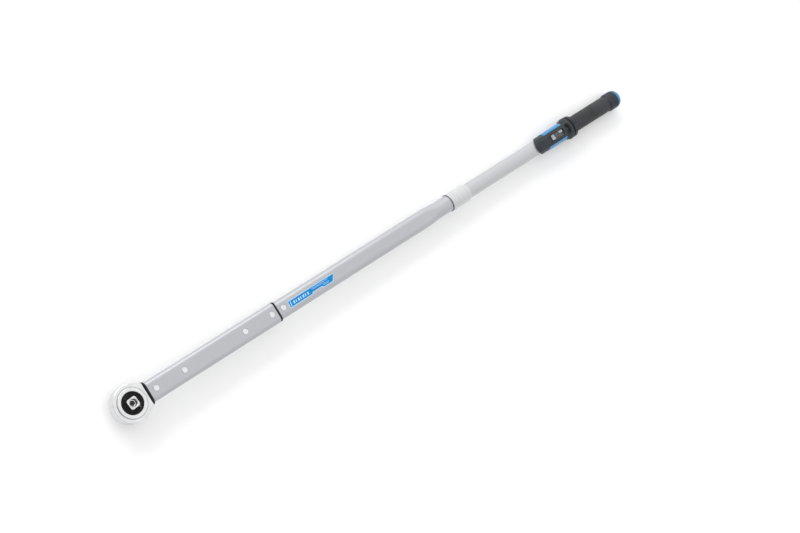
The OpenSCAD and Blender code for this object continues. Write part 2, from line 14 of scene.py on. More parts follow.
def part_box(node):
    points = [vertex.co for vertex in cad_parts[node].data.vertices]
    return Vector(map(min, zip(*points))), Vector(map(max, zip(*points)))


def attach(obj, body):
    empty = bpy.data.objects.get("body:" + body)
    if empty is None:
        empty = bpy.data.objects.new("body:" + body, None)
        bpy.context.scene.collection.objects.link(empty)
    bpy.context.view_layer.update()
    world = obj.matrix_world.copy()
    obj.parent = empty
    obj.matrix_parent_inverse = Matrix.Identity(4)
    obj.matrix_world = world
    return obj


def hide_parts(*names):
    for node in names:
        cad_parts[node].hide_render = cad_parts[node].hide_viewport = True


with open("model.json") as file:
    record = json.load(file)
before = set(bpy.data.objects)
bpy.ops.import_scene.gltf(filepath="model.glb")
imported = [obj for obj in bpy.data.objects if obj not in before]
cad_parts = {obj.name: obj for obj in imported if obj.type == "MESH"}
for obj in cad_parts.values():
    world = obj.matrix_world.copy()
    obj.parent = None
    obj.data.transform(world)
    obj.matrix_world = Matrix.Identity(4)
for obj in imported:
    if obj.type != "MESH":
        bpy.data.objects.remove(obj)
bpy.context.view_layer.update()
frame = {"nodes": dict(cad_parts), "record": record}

MM = 0.001
X, Y, Z = range(3)
AXIS_Z = sum(corner.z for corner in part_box("rear_tube")) / 2
TO_ROW = Matrix.Translation((0, 0, AXIS_Z)) @ Matrix.Scale(MM, 4)
BODY_OF = {node: body for body, nodes in frame["record"]["behaviour"]["bodies"].items() for node in nodes}
SLOT_OF = {part["node"]: part["material_slot"] for part in frame["record"]["subparts"]}


def span(node, axis):
    """Lowest and highest place of a CAD node along one axis, in millimetres on the tube's axis."""
    lift = AXIS_Z if axis == Z else 0
    return [(corner[axis] - lift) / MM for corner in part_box(node)]


# ---------- mesh tools ----------

def new_piece(name, bm):
    """A new object in the row frame from a bmesh in millimetres."""
    bmesh.ops.recalc_face_normals(bm, faces=bm.faces)
    bmesh.ops.transform(bm, matrix=TO_ROW, verts=bm.verts)
    mesh = bpy.data.meshes.new(name)
    bm.to_mesh(mesh)
    bm.free()
    piece = bpy.data.objects.new(name, mesh)
    bpy.context.scene.collection.objects.link(piece)
    return piece


def skin(name, shells, loop=False, caps=True):
    """Surfaces stretched over rings of points. Each shell is a list of rings with equal counts."""
    bm = bmesh.new()
    for rings in shells:
        rows = [[bm.verts.new(point) for point in ring] for ring in rings]
        pairs = list(zip(rows, rows[1:]))
        if loop:
            pairs.append((rows[-1], rows[0]))
        for near, far in pairs:
            for i in range(len(near)):
                bm.faces.new((near[i - 1], near[i], far[i], far[i - 1]))
        if caps and not loop:
            bm.faces.new(rows[0])
            bm.faces.new(rows[-1])
    bmesh.ops.remove_doubles(bm, verts=bm.verts, dist=1e-5)
    bmesh.ops.dissolve_degenerate(bm, edges=bm.edges, dist=1e-6)
    return new_piece(name, bm)


def rounded(corners, closed=True, steps=6):
    """An outline through corners (x, y) or (x, y, radius), each radius drawn as an arc."""
    outline = []
    for i, corner in enumerate(corners):
        here = Vector(corner[:2])
        inner = closed or 0 < i < len(corners) - 1
        if len(corner) < 3 or not inner:
            outline.append(tuple(here))
            continue
        radius = corner[2]
        back = (Vector(corners[i - 1][:2]) - here).normalized()
        ahead = (Vector(corners[(i + 1) % len(corners)][:2]) - here).normalized()
        half = back.angle(ahead) / 2
        centre = here + (back + ahead).normalized() * radius / sin(half)
        start = here + back * radius / tan(half) - centre
        turn = (pi - 2 * half) * (1 if back.cross(ahead) < 0 else -1)
        first = atan2(start.y, start.x)
        for k in range(steps + 1):
            angle = first + turn * k / steps
            outline.append((centre.x + radius * cos(angle), centre.y + radius * sin(angle)))
    return outline


def circle(radius, along, axis, segments):
    """Points of a circle about the x axis or the z axis."""
    turns = [2 * pi * i / segments for i in range(segments)]
    if axis == X:
        return [(along, radius * cos(t), radius * sin(t)) for t in turns]
    return [(radius * cos(t), radius * sin(t), along) for t in turns]


def turned(name, profile, axis=X, segments=128, places=(Matrix.Identity(4),), loop=True):
    """A turned solid from a profile of (radius, place along the axis), repeated at each place."""
    rings = [circle(radius, along, axis, segments) for radius, along in profile]
    shells = [[[place @ Vector(point) for point in ring] for ring in rings] for place in places]
    return skin(name, shells, loop=loop, caps=False)


def spun(name, profile, **options):
    """A turned solid without a bore: its profile runs from axis to axis."""
    return turned(name, [(0, profile[0][1])] + list(profile) + [(0, profile[-1][1])], loop=False, **options)


def prism(name, outline, low, high, axis=Z):
    """An outline in x and y raised along z, or one in y and z drawn along x."""
    def lift(along):
        return [(a, b, along) if axis == Z else (along, a, b) for a, b in outline]
    return skin(name, [[lift(low), lift(high)]])


def box(name, x, y, z):
    """A block between its limits along x, y and z."""
    return prism(name, [(x[0], y[0]), (x[1], y[0]), (x[1], y[1]), (x[0], y[1])], *z)


def oval(x, width, height, corner, steps=14):
    """A ring of points on a rectangle with round corners, at one place along the tube."""
    ring = []
    for quarter in range(4):
        side_y = 1 if quarter in (0, 3) else -1
        side_z = 1 if quarter in (0, 1) else -1
        centre = Vector((side_y * (width / 2 - corner), side_z * (height / 2 - corner)))
        for k in range(steps + 1):
            angle = (quarter + k / steps) * pi / 2
            ring.append((x, centre.x + corner * cos(angle), centre.y + corner * sin(angle)))
    return ring


def settle(piece):
    """Writes a piece's modifiers into its mesh."""
    bpy.context.view_layer.update()
    shaped = piece.evaluated_get(bpy.context.evaluated_depsgraph_get())
    mesh = bpy.data.meshes.new_from_object(shaped)
    piece.modifiers.clear()
    piece.data = mesh
    return piece


def combine(piece, tool, how="DIFFERENCE"):
    """Cuts, adds or keeps what the tool covers, and removes the tool."""
    modifier = piece.modifiers.new(how, "BOOLEAN")
    modifier.operation = how
    modifier.solver = "EXACT"
    modifier.object = tool
    settle(piece)
    bpy.data.objects.remove(tool)
    return piece


def soften(piece, width, segments=3, angle=32):
    """Rounds the sharp edges of a piece; width is in millimetres."""
    modifier = piece.modifiers.new("round", "BEVEL")
    modifier.width = width * MM
    modifier.segments = segments
    modifier.limit_method = "ANGLE"
    modifier.angle_limit = radians(angle)
    modifier.miter_outer = "MITER_ARC"
    return settle(piece)


def smooth(piece, angle=38):
    """Smooth shading that keeps true edges and flat faces."""
    piece.data.shade_smooth()
    piece.data.set_sharp_from_angle(angle=radians(angle))
    modifier = piece.modifiers.new("flats", "WEIGHTED_NORMAL")
    modifier.keep_sharp = True
    return settle(piece)


def from_cad(node, width, segments=2):
    """A copy of a CAD node's mesh with its facets joined and its edges rounded."""
    bm = bmesh.new()
    bm.from_mesh(frame["nodes"][node].data)
    bmesh.ops.remove_doubles(bm, verts=bm.verts, dist=1e-6)
    bmesh.ops.dissolve_limit(bm, angle_limit=radians(0.5), verts=bm.verts, edges=bm.edges)
    bmesh.ops.transform(bm, matrix=TO_ROW.inverted(), verts=bm.verts)
    return soften(new_piece(node + "_shape", bm), width, segments)


def stand_in(piece, node, finish=None):
    """The piece rides with its CAD node's body, takes its finish and is shown in its place."""
    smooth(piece)
    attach(piece, BODY_OF[node])
    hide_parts(node)
    finish = finish or SLOT_OF[node]
    piece.data.materials.clear()
    piece.data.materials.append(MATERIALS[finish])
    return piece


# ---------- materials ----------

class Finish:
    """A procedural material in object space. Sizes are in millimetres."""

    def __init__(self, name, **sockets):
        self.material = bpy.data.materials.new(name)
        self.material.use_nodes = True
        self.tree = self.material.node_tree
        self.shader = self.tree.nodes["Principled BSDF"]
        for socket, value in sockets.items():
            self.shader.inputs[socket.replace("_", " ")].default_value = value
        self.coords = self.node("ShaderNodeTexCoord").outputs["Object"]

    def node(self, kind, inputs=(), **settings):
        made = self.tree.nodes.new(kind)
        for key, value in settings.items():
            setattr(made, key, value)
        for key, value in dict(inputs).items():
            if isinstance(value, bpy.types.NodeSocket):
                self.tree.links.new(value, made.inputs[key])
            else:
                made.inputs[key].default_value = value
        return made

    def link(self, value, socket):
        self.tree.links.new(value, self.shader.inputs[socket])

    def stretched(self, stretch):
        """Object coordinates in millimetres, drawn out along each axis by stretch."""
        scale = [1 / (MM * s) for s in stretch]
        return self.node("ShaderNodeMapping", {"Vector": self.coords, "Scale": scale}).outputs[0]

    def noise(self, size, stretch=(1, 1, 1), detail=3.0):
        """Noise with blobs of that size."""
        inputs = {"Vector": self.stretched(stretch), "Scale": 1 / size, "Detail": detail}
        return self.node("ShaderNodeTexNoise", inputs).outputs["Fac"]

    def cells(self, size):
        """Distance to the nearest of many scattered points, for leathery grain."""
        inputs = {"Vector": self.stretched((1, 1, 1)), "Scale": 1 / size}
        return self.node("ShaderNodeTexVoronoi", inputs).outputs["Distance"]

    def rings(self, pitch):
        """Turning marks about the drive axis."""
        inputs = {"Vector": self.stretched((1, 1, 1)), "Scale": 0.3 / pitch, "Distortion": 0.6, "Detail": 1}
        return self.node("ShaderNodeTexWave", inputs, wave_type="RINGS", rings_direction="Z").outputs["Fac"]

    def between(self, value, low, high, start=0.35, end=0.65):
        """The value's middle range mapped to low ... high."""
        inputs = {"Value": value, "From Min": start, "From Max": end, "To Min": low, "To Max": high}
        return self.node("ShaderNodeMapRange", inputs).outputs["Result"]

    def mix(self, factor, first, second):
        """A colour between first and second; each is a colour or another mix."""
        made = self.node("ShaderNodeMix", data_type="RGBA")
        for index, value in ((0, factor), (6, first), (7, second)):
            if isinstance(value, bpy.types.NodeSocket):
                self.tree.links.new(value, made.inputs[index])
            else:
                made.inputs[index].default_value = value
        return made.outputs[2]

    def edges(self, start=0.52, end=0.62):
        """1 on convex edges, 0 elsewhere."""
        pointy = self.node("ShaderNodeNewGeometry").outputs["Pointiness"]
        return self.between(pointy, 0, 1, start, end)

    def bump(self, height, depth, strength=1.0):
        """Surface relief of that depth."""
        inputs = {"Height": height, "Distance": depth * MM, "Strength": strength}
        self.link(self.node("ShaderNodeBump", inputs).outputs[0], "Normal")


def rgb(red, green, blue):
    """A solid colour in linear light."""
    return (red, green, blue, 1)


def plated(name, bright, dull, rough, ring_pitch):
    """Satin chrome: turning marks under bright plating, with faint clouding."""
    finish = Finish(name, Metallic=1.0)
    finish.link(finish.mix(finish.between(finish.noise(14), 0, 1), bright, dull), "Base Color")
    finish.link(finish.between(finish.noise(1.6, (1, 4, 1)), rough[0], rough[1]), "Roughness")
    finish.bump(finish.rings(ring_pitch), 0.004, 0.35)
    return finish.material


def lacquer(name, light, dark, metal, rough, flake):
    """Sprayed lacquer with flakes, slight orange peel and a thin clear coat."""
    finish = Finish(name, Metallic=metal, Coat_Weight=0.35, Coat_Roughness=0.12)
    flakes = finish.mix(finish.between(finish.noise(flake, detail=1), 0, 1), light, dark)
    cloud = finish.between(finish.noise(60, (3, 1, 1)), 0, 0.35)
    finish.link(finish.mix(cloud, flakes, dark), "Base Color")
    finish.link(finish.between(finish.noise(3), rough[0], rough[1]), "Roughness")
    finish.bump(finish.noise(2.2, detail=2), 0.02, 0.25)
    return finish.material


def moulded(name, body, edge, rough, grain, depth, specular=0.4):
    """Moulded plastic with spark-eroded grain, and edges rubbed lighter."""
    finish = Finish(name, Specular_IOR_Level=specular)
    patches = finish.mix(finish.between(finish.noise(18), 0, 0.5), body, edge)
    rubbed = finish.mix(finish.edges(), patches, edge)
    finish.link(rubbed, "Base Color")
    finish.link(finish.between(finish.noise(2.5), rough[0], rough[1]), "Roughness")
    finish.bump(finish.cells(grain), depth, 0.6)
    return finish.material


def machined(name, bright, dull, rough):
    """Plain machined or oiled metal of pins and inner parts."""
    finish = Finish(name, Metallic=1.0)
    finish.link(finish.mix(finish.between(finish.noise(4), 0, 1), bright, dull), "Base Color")
    finish.link(finish.between(finish.noise(0.8, (1, 1, 6)), rough[0], rough[1]), "Roughness")
    finish.bump(finish.noise(0.5, (1, 8, 8)), 0.006, 0.4)
    return finish.material


def oxide(name):
    """Black oxide steel: speckled, with steel showing on worn edges."""
    finish = Finish(name, Metallic=0.6, Specular_IOR_Level=0.3)
    specks = finish.between(finish.noise(0.7, detail=6), 0, 1, 0.55, 0.75)
    skin_colour = finish.mix(specks, rgb(0.005, 0.005, 0.005), rgb(0.022, 0.022, 0.021))
    finish.link(finish.mix(finish.edges(0.53, 0.66), skin_colour, rgb(0.12, 0.12, 0.12)), "Base Color")
    finish.link(finish.between(finish.noise(2), 0.42, 0.6), "Roughness")
    finish.bump(finish.noise(0.6), 0.01, 0.5)
    return finish.material


def clear(name):
    """Clear window with faint smears."""
    finish = Finish(name, Transmission_Weight=1.0, IOR=1.46)
    finish.link(finish.mix(finish.noise(6), rgb(1, 1, 1), rgb(0.95, 0.98, 1)), "Base Color")
    finish.link(finish.between(finish.noise(4), 0.01, 0.07), "Roughness")
    return finish.material


MATERIALS = {
    "polished_steel": plated("polished_steel", rgb(0.69, 0.69, 0.69), rgb(0.62, 0.63, 0.64),
                             (0.16, 0.26), 0.5),
    "black_steel": oxide("black_steel"),
    "drive_steel": plated("drive_steel", rgb(0.68, 0.68, 0.67), rgb(0.58, 0.58, 0.58), (0.14, 0.24), 0.4),
    "button_steel": plated("button_steel", rgb(0.7, 0.7, 0.71), rgb(0.6, 0.6, 0.61), (0.12, 0.2), 0.3),
    "pin_steel": machined("pin_steel", rgb(0.72, 0.72, 0.73), rgb(0.64, 0.64, 0.66), (0.25, 0.4)),
    "tube_lacquer": lacquer("tube_lacquer", rgb(0.415, 0.425, 0.445), rgb(0.35, 0.36, 0.38), 0.3,
                            (0.34, 0.44), 0.35),
    "handle_tube": lacquer("handle_tube", rgb(0.45, 0.46, 0.475), rgb(0.4, 0.41, 0.425), 0.3,
                           (0.28, 0.38), 0.3),
    "collar_paint": lacquer("collar_paint", rgb(0.5, 0.505, 0.51), rgb(0.46, 0.465, 0.475), 0.0,
                            (0.22, 0.3), 4),
    "black_rubber": moulded("black_rubber", rgb(0.005, 0.005, 0.005), rgb(0.012, 0.012, 0.012),
                            (0.5, 0.65), 0.5, 0.02, 0.22),
    "dark_trim": moulded("dark_trim", rgb(0.01, 0.011, 0.012), rgb(0.025, 0.027, 0.03),
                         (0.42, 0.55), 0.4, 0.015),
    "slate_plastic": moulded("slate_plastic", rgb(0.0125, 0.017, 0.022), rgb(0.03, 0.036, 0.042),
                             (0.42, 0.54), 0.45, 0.03, 0.32),
    "grip_plastic": moulded("grip_plastic", rgb(0.016, 0.018, 0.021), rgb(0.032, 0.035, 0.04),
                            (0.48, 0.62), 0.7, 0.05, 0.36),
    "blue_plastic": moulded("blue_plastic", rgb(0.012, 0.18, 0.41), rgb(0.03, 0.23, 0.47),
                            (0.24, 0.34), 0.9, 0.01, 0.5),
    "label_blue": moulded("label_blue", rgb(0.005, 0.17, 0.46), rgb(0.008, 0.19, 0.49),
                          (0.3, 0.4), 1.2, 0.005, 0.12),
    "white_plastic": moulded("white_plastic", rgb(0.64, 0.65, 0.66), rgb(0.7, 0.71, 0.72),
                             (0.4, 0.5), 0.6, 0.008),
    "clear_plastic": clear("clear_plastic"),
    "inner_steel": machined("inner_steel", rgb(0.52, 0.53, 0.54), rgb(0.38, 0.39, 0.4), (0.3, 0.45)),
    "spring_steel": machined("spring_steel", rgb(0.26, 0.26, 0.27), rgb(0.17, 0.17, 0.18), (0.35, 0.5)),
    "bronze": machined("bronze", rgb(0.62, 0.43, 0.2), rgb(0.5, 0.34, 0.15), (0.28, 0.42)),
    "label_edge": moulded("label_edge", rgb(0.34, 0.56, 0.76), rgb(0.42, 0.62, 0.8),
                          (0.3, 0.4), 1.2, 0.005, 0.2),
    "ring_metal": machined("ring_metal", rgb(0.17, 0.17, 0.175), rgb(0.12, 0.12, 0.125), (0.4, 0.5)),
}

# ---------- head ----------

HEAD_R = -span("ratchet_head", X)[0]
HEAD_TOP = span("ratchet_head", Z)[0] * -1
RIM_TOP = span("ratchet_head", Z)[1]
RIM_R = 27.2
NECK_X = span("head_seal", X)[0] - 0.05
NECK_HALF = 21
WHEEL_R = 20.6
WHEEL_BOTTOM, WHEEL_TOP = span("ratchet_wheel", Z)
COVER_R = span("head_cover", X)[1]
COVER_TOP = span("head_cover", Z)[1]
RIM_FOOT = 12.4
GEAR_TOP = 9.2
GEAR_ROOM = 23.2
TOOTH_COUNT = 60
TOOTH_ROOT_R, TOOTH_TIP_R = 21.3, 22.6
GEAR_HALF = 8.9
PAWL_SLOT_X, PAWL_SLOT_HALF, PAWL_SLOT_TOP = (18, 30), 8.1, 8.7
LEVER_HALF_W, LEVER_HALF_H, LEVER_TAPER_X = 14.6, 8.8, (70, 110)
LINK_HOLE_R = 5.3
SQUARE_TURN = radians(5)
SQUARE_HALF = 19.05 / 2
SQUARE_ROUND = 12.7
SQUARE_CHAMFER = 2.5
RECESS_R, RECESS_FLOOR = 7.4, 8
STEM_BORE_R = 4.4
COVER_STEP_R = 24
COVER_SCREW_COUNT, COVER_SCREW_CIRCLE = 6, 27.6
SQUARE_BOTTOM, SQUARE_TOP = span("drive_square", Z)
PIN_R = (span("pivot_pin", Y)[1] - span("pivot_pin", Y)[0]) / 2
PIVOT_X = sum(span("pivot_pin", X)) / 2
STOP_X = sum(span("stop_pin", X)) / 2


def ratchet_head():
    """Round housing with its neck, raised rim, lever and room for wheel and pawl."""
    slope = atan2(NECK_HALF, NECK_X) + acos(HEAD_R / hypot(NECK_X, NECK_HALF))
    count = 120
    turns = [slope + (2 * pi - 2 * slope) * k / count for k in range(count + 1)]
    outline = [(HEAD_R * cos(t), HEAD_R * sin(t)) for t in turns]
    outline += [(NECK_X, -NECK_HALF), (NECK_X, NECK_HALF)]
    head = soften(prism("housing", outline, -HEAD_TOP, HEAD_TOP), 2.0, 5)
    rim = rounded([(15, 5), (RIM_R, 5), (RIM_R, RIM_TOP, 0.8), (15, RIM_TOP)])
    combine(head, turned("rim", rim, Z), "UNION")
    foot = rounded([(RIM_R - 0.01, RIM_FOOT, 0.3), (RIM_R + 1.2, RIM_FOOT, 0.3), (RIM_R + 1.5, 14),
                    (RIM_R - 0.01, 14)], steps=2)
    combine(head, turned("foot_groove", foot, Z))
    lever_end = span("ratchet_head", X)[1]
    sides = [(28, LEVER_HALF_W), (LEVER_TAPER_X[0], LEVER_HALF_W), (LEVER_TAPER_X[1], 12), (lever_end, 10)]
    lever_outline = [(x, -y) for x, y in sides] + [(x, y) for x, y in reversed(sides)]
    combine(head, prism("lever", lever_outline, -LEVER_HALF_H, LEVER_HALF_H), "UNION")
    bore = [(0, -20), (COVER_R + 0.05, -20), (COVER_R + 0.05, COVER_TOP), (GEAR_ROOM, COVER_TOP),
            (GEAR_ROOM, GEAR_TOP), (WHEEL_R + 0.05, GEAR_TOP), (WHEEL_R + 0.05, RIM_TOP - 0.5),
            (WHEEL_R + 0.55, RIM_TOP), (WHEEL_R + 0.55, 20), (0, 20)]
    combine(head, turned("bore", bore, Z, loop=False))
    combine(head, box("pawl_slot", PAWL_SLOT_X, (-PAWL_SLOT_HALF, PAWL_SLOT_HALF), (-20, PAWL_SLOT_TOP)))
    for x, radius in ((PIVOT_X, PIN_R + 0.05), (STOP_X, PIN_R + 1.9), (lever_end, LINK_HOLE_R)):
        place = [Matrix.Translation((x, 0, 0))]
        combine(head, spun("hole", [(radius, -20), (radius, 20)], axis=Z, places=place))
    soften(head, 0.25, 2, 40)
    head.name = "head_housing"
    stand_in(head, "ratchet_head")
    # Darker steel ring laid in the foot groove: painted shade that draws a dark line at the rim's foot.
    groove_shade = rounded([(RIM_R, RIM_FOOT), (RIM_R + 1.25, RIM_FOOT), (RIM_R + 1.25, 12.8, 0.1),
                     (RIM_R, 12.8, 0.1)], steps=2)
    stand_in(turned("groove_shade_inlay", groove_shade, Z), "ratchet_head", "inner_steel")


def head_seal():
    """Black seal between the head's neck and the front tube."""
    low, high = span("head_seal", X)
    half_w, half_h = span("head_seal", Y)[1], span("head_seal", Z)[1]
    edge = [(low, 1.0), (low + 0.3, 0.35), (low + 0.9, 0), (high - 0.9, 0), (high - 0.3, 0.35), (high, 1.0)]
    outer = [oval(x, 2 * (half_w - d), 2 * (half_h - d), 8 - d) for x, d in edge]
    inner = [oval(x, 29.3, 17.7, 1) for x in (high, low)]
    return stand_in(skin("neck_seal", [outer + inner], loop=True), "head_seal")


def ratchet_wheel():
    """Toothed wheel with a fine groove in its face and a square hole."""
    journal = rounded([(WHEEL_R, WHEEL_BOTTOM, 0.6), (WHEEL_R, WHEEL_TOP, 0.6), (18.4, WHEEL_TOP, 0.2),
                       (18.1, WHEEL_TOP - 0.35, 0.2), (17.4, WHEEL_TOP - 0.35, 0.2), (17.1, WHEEL_TOP, 0.2),
                       (10, WHEEL_TOP)], closed=False, steps=4)
    wheel = spun("wheel_face", [(10, WHEEL_BOTTOM)] + journal, axis=Z)
    outline = []
    for i in range(TOOTH_COUNT):
        root = (i + 0.5) * 2 * pi / TOOTH_COUNT
        tip = root + radians(240) / TOOTH_COUNT
        outline += [(TOOTH_ROOT_R * cos(root), TOOTH_ROOT_R * sin(root)),
                    (TOOTH_TIP_R * cos(tip), TOOTH_TIP_R * sin(tip))]
    combine(wheel, prism("teeth", outline, -GEAR_HALF, GEAR_HALF), "UNION")
    hole = SQUARE_HALF + 0.05
    opening = box("square_hole", (-hole, hole), (-hole, hole), (-30, 30))
    round_r = SQUARE_ROUND + 0.05
    combine(opening, spun("hole_corners", [(round_r, -31), (round_r, 31)], axis=Z), "INTERSECT")
    combine(wheel, turn_square(opening))
    combine(wheel, turn_square(box("ball_groove", (-2.5, 2.5), (-hole - 1.4, 0), (-30, 30))))
    soften(wheel, 0.3, 2, 50)
    return stand_in(wheel, "ratchet_wheel")


def turn_square(piece):
    """Turns a piece to the angle at which the square stands in its wheel."""
    piece.data.transform(Matrix.Rotation(SQUARE_TURN, 4, "Z"))
    return piece


def drive_square():
    """Square bar cut from a round blank, with the button's recess and the ball's hole."""
    side = (-SQUARE_HALF, SQUARE_HALF)
    bar = box("square", side, side, (SQUARE_BOTTOM, SQUARE_TOP))
    blank = [(SQUARE_ROUND - SQUARE_CHAMFER, SQUARE_BOTTOM), (SQUARE_ROUND, SQUARE_BOTTOM + SQUARE_CHAMFER),
             (SQUARE_ROUND, SQUARE_TOP - SQUARE_CHAMFER), (SQUARE_ROUND - 1.1, SQUARE_TOP)]
    combine(bar, spun("blank", blank, axis=Z), "INTERSECT")
    recess = [(RECESS_R, RECESS_FLOOR), (RECESS_R, SQUARE_TOP - 0.5), (RECESS_R + 0.6, SQUARE_TOP),
              (RECESS_R + 0.6, SQUARE_TOP + 1)]
    combine(bar, spun("recess", recess, axis=Z))
    combine(bar, spun("button_bore", [(6.4, 2), (6.4, 13)], axis=Z))
    combine(bar, spun("stem_bore", [(STEM_BORE_R, SQUARE_BOTTOM + 7), (STEM_BORE_R, 3)], axis=Z))
    ball_z = span("detent_ball", Z)
    across = Matrix.Translation((0, 0, sum(ball_z) / 2)) @ Matrix.Rotation(pi / 2, 4, "X")
    combine(bar, spun("ball_hole", [(3.05, 0), (3.05, 20)], axis=Z, places=[across]))
    soften(bar, 0.5, 3, 40)
    return stand_in(turn_square(bar), "drive_square")


def release_button():
    """Ring-shaped button on its stem, with a dark disc in its bore as painted shade that darkens the hole.
    """
    radius = span("release_button", X)[1]
    low, top = span("release_button", Z)
    hole = 4.6
    profile = [(3.55, low), (3.55, top - 4), (radius, top - 4, 0.3), (radius, top, 0.7), (hole, top, 0.7),
               (hole, top - 2.6, 0.8), (0.5, top - 2.9)]
    stand_in(spun("button_ring", rounded(profile, closed=False, steps=4), axis=Z), "release_button")
    # Dark plastic disc at the bottom of the button's bore: painted shade for the deep hole.
    floor_z = top - 2.7
    centre = [(hole - 0.1, floor_z), (hole - 0.1, floor_z + 1.6), (hole - 0.5, floor_z + 2),
              (1, floor_z + 1.7)]
    stand_in(spun("button_bore_shade", centre, axis=Z, segments=64), "release_button", "dark_trim")


def detent_ball():
    low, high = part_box("detent_ball")
    centre = (low + high) / 2 - Vector((0, 0, AXIS_Z))
    radius = (high.z - low.z) / 2 / MM
    arc = [(radius * cos(radians(a)), radius * sin(radians(a))) for a in range(-84, 85, 6)]
    place = [Matrix.Translation(centre / MM)]
    return stand_in(spun("ball", arc, axis=Z, segments=48, places=place), "detent_ball")


def head_cover():
    """Stepped cover under the head, with countersunk holes for its screws."""
    low, high = span("head_cover", Z)
    bore = WHEEL_R + 0.05
    profile = rounded([(bore, low, 0.3), (COVER_STEP_R, low, 0.8), (COVER_STEP_R, low + 2, 0.4),
                       (COVER_R, low + 2, 0.5), (COVER_R, high), (bore, high)], steps=4)
    cover = turned("cover_plate", profile, Z)
    out = Matrix.Translation((COVER_SCREW_CIRCLE, 0, 0))
    holes = [Matrix.Rotation(radians(30 + 60 * i), 4, "Z") @ out for i in range(COVER_SCREW_COUNT)]
    combine(cover, spun("screw_holes", [(2.9, -20), (2.9, -11.1), (1.55, -11.1), (1.55, 0)], axis=Z,
                        segments=40, places=holes))
    soften(cover, 0.2, 2, 50)
    return stand_in(cover, "head_cover")


# ---------- tubes ----------

FRONT_X0, FRONT_X1 = span("front_tube", X)
FRONT_W, FRONT_H, FRONT_C = 2 * span("front_tube", Y)[1], 2 * span("front_tube", Z)[1], 8.5
REAR_X0 = span("rear_tube", X)[0]
REAR_W, REAR_H, REAR_C = 2 * span("rear_tube", Y)[1], 26.0, 10.5
SWAGE_X0, SWAGE_X1 = 684, 722
NECK_R = span("rear_tube", Z)[1]
WALL = 3
INNER_R = 11.65
RIVETS_FRONT = (248.4, 309.3)
RIVET_REAR = 336.2
RIVET_FOOT = 9.2
PIN_PROUD = span("pivot_pin", Z)[1] - FRONT_H / 2


def pin_holes(tube, places, half_h):
    """Holes for the cross pins, with a fine countersink at both faces."""
    radius = PIN_R + 0.02
    profile = [(radius + 0.5, -half_h - 1), (radius + 0.5, -half_h), (radius, 0.5 - half_h),
               (radius, half_h - 0.5), (radius + 0.5, half_h), (radius + 0.5, half_h + 1)]
    at = [Matrix.Translation((x, 0, 0)) for x in places]
    combine(tube, spun("pin_holes", profile, axis=Z, segments=72, places=at))


def front_tube():
    edge = [(FRONT_X0, 0.6), (FRONT_X0 + 0.2, 0.2), (FRONT_X0 + 0.6, 0),
            (FRONT_X1 - 0.6, 0), (FRONT_X1 - 0.2, 0.2), (FRONT_X1, 0.6)]
    outer = [oval(x, FRONT_W - 2 * d, FRONT_H - 2 * d, FRONT_C - d) for x, d in edge]
    inner = [oval(x, FRONT_W - 2 * WALL, FRONT_H - 2 * WALL, FRONT_C - WALL) for x in (FRONT_X1, FRONT_X0)]
    tube = skin("tube_front", [outer + inner], loop=True)
    pin_holes(tube, (PIVOT_X, STOP_X) + RIVETS_FRONT, FRONT_H / 2)
    return stand_in(tube, "front_tube")


def rear_tube():
    """Oval tube that eases into a round neck inside the collar."""
    end = sum(span("collar", X)) / 2
    count = 20
    stations = [(SWAGE_X0, REAR_W, REAR_H, REAR_C)]
    for k in range(1, count + 1):
        t = k / count
        ease = t * t * (3 - 2 * t)
        x = SWAGE_X0 + (SWAGE_X1 - SWAGE_X0) * t
        width = REAR_W + (2 * NECK_R - REAR_W) * ease
        height = REAR_H + (2 * NECK_R - REAR_H) * ease
        stations.append((x, width, height, REAR_C + (NECK_R - REAR_C) * ease))
    edge = [(REAR_X0, 0.6), (REAR_X0 + 0.2, 0.2), (REAR_X0 + 0.6, 0)]
    outer = [oval(x, REAR_W - 2 * d, REAR_H - 2 * d, REAR_C - d) for x, d in edge]
    outer += [oval(*station) for station in stations]
    outer.append(oval(end, 2 * NECK_R, 2 * NECK_R, NECK_R))
    thin = NECK_R - INNER_R
    inner = [oval(end, 2 * INNER_R, 2 * INNER_R, INNER_R)]
    inner += [oval(x, w - 2 * thin, h - 2 * thin, c - thin) for x, w, h, c in reversed(stations)]
    inner.append(oval(REAR_X0, REAR_W - 2 * WALL, REAR_H - 2 * WALL, REAR_C - WALL))
    tube = skin("tube_rear", [outer + inner], loop=True)
    pin_holes(tube, (RIVET_REAR,), REAR_H / 2)
    return stand_in(tube, "rear_tube")


def pin_end(foot, top):
    """Profile of a pin's end: chamfered rim, flat face and a turned dimple."""
    return [(PIN_R, foot), (PIN_R, top - 0.45), (PIN_R - 0.12, top - 0.2), (PIN_R - 0.4, top - 0.06),
            (PIN_R - 0.9, top), (1.3, top), (0.7, top - 0.35)]


def cross_pins():
    top = FRONT_H / 2 + PIN_PROUD
    upper = pin_end(0, top)
    lower = [(r, -z) for r, z in reversed(upper[1:])]
    for node, x in (("pivot_pin", PIVOT_X), ("stop_pin", STOP_X)):
        place = [Matrix.Translation((x, 0, 0))]
        stand_in(spun(node + "_steel", lower + upper[1:], axis=Z, segments=72, places=place), node)


def rivets():
    """Ends of the rivets that hold both tubes on the sleeve, above and below."""
    flip = Matrix.Rotation(pi, 4, "X")
    for name, places, half_h in (("front", RIVETS_FRONT, FRONT_H / 2), ("rear", (RIVET_REAR,), REAR_H / 2)):
        at = [side @ Matrix.Translation((x, 0, 0)) for x in places for side in (Matrix.Identity(4), flip)]
        profile = pin_end(RIVET_FOOT, half_h + PIN_PROUD)
        studs = spun("rivets_" + name, profile, axis=Z, segments=72, places=at)
        stand_in(studs, "connector_rivets")


